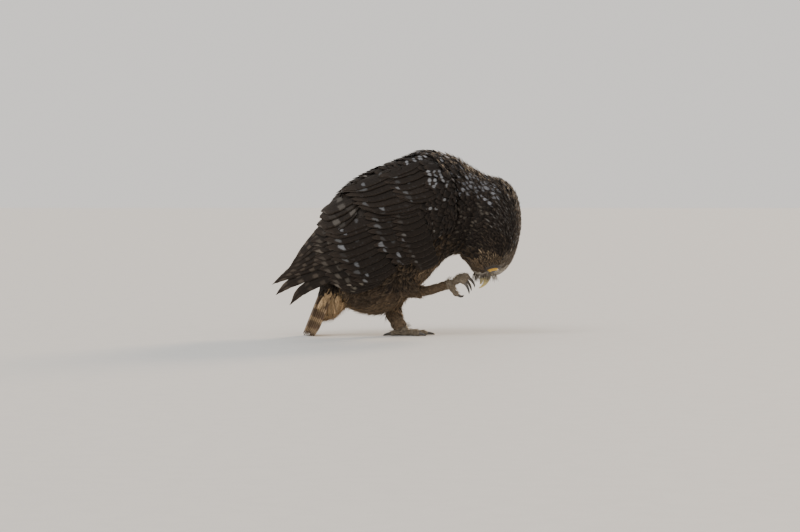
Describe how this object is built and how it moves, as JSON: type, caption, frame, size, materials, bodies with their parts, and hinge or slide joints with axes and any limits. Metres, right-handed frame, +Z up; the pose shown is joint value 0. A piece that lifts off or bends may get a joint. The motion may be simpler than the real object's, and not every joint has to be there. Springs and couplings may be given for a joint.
{
  "type": "little owl",
  "caption": "Life-size little owl standing on one foot, back arched and head bent down to its raised other foot, wings folded, tail tip on the floor.",
  "frame": {"origin": "middle of the standing foot's sole, on the floor and on the owl's middle plane", "axes": "+X is the way the owl faces, +Y is its left side, +Z is up"},
  "size_m": [0.2136, 0.0984, 0.159],
  "materials": {
    "brown_plumage": "soft dark brown feathers with whitish spots and streaks",
    "pale_plumage": "soft cream leg feathers",
    "flight_feathers": "smooth brown vanes with pale bars",
    "eyes": "clear, yellow round a black pupil",
    "bill": "smooth greenish-yellow horn",
    "toes": "scaly skin under short pale bristles",
    "claws": "smooth blackish horn"
  },
  "bodies": {
    "root": {"torso": "brown_plumage", "neck": "brown_plumage", "head": "brown_plumage", "thigh_left": "pale_plumage", "thigh_right": "pale_plumage", "tarsus_left": "pale_plumage", "tarsus_right": "pale_plumage", "wing_left": "flight_feathers", "wing_right": "flight_feathers", "tail": "flight_feathers", "eye_left": "eyes", "eye_right": "eyes", "bill_upper": "bill", "bill_lower": "bill", "foot_left": "toes", "foot_right": "toes", "claw_left_hind": "claws", "claw_left_inner": "claws", "claw_left_middle": "claws", "claw_left_outer": "claws", "claw_right_hind": "claws", "claw_right_inner": "claws", "claw_right_middle": "claws", "claw_right_outer": "claws"}
  },
  "joints": []
}
